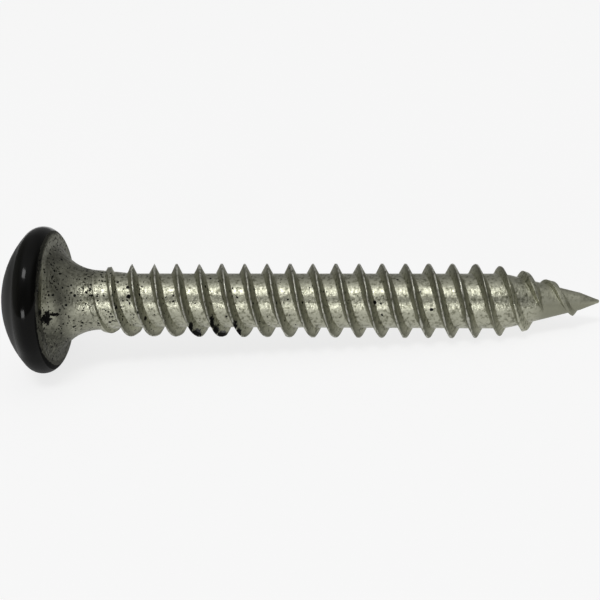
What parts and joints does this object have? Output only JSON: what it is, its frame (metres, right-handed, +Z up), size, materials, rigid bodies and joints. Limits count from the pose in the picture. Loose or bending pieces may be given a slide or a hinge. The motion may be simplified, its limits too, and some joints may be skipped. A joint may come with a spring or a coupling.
{
  "type": "self-tapping roofing screw",
  "caption": "Domed round head with a painted top over a bare steel shank, coarse right-hand self-tapping thread and a gimlet point, lying on its side.",
  "frame": {"origin": "on the floor under the middle of the lying screw's box", "axes": "+X from the head to the tip as seen from above, +Z up; the screw's own axis leans 5 degrees down towards the tip"},
  "size_m": [0.0386, 0.0098, 0.0097],
  "materials": {
    "plated_steel": "zinc-plated steel, with the top of the head painted gloss black"
  },
  "bodies": {
    "root": {"screw": "plated_steel"}
  },
  "joints": []
}
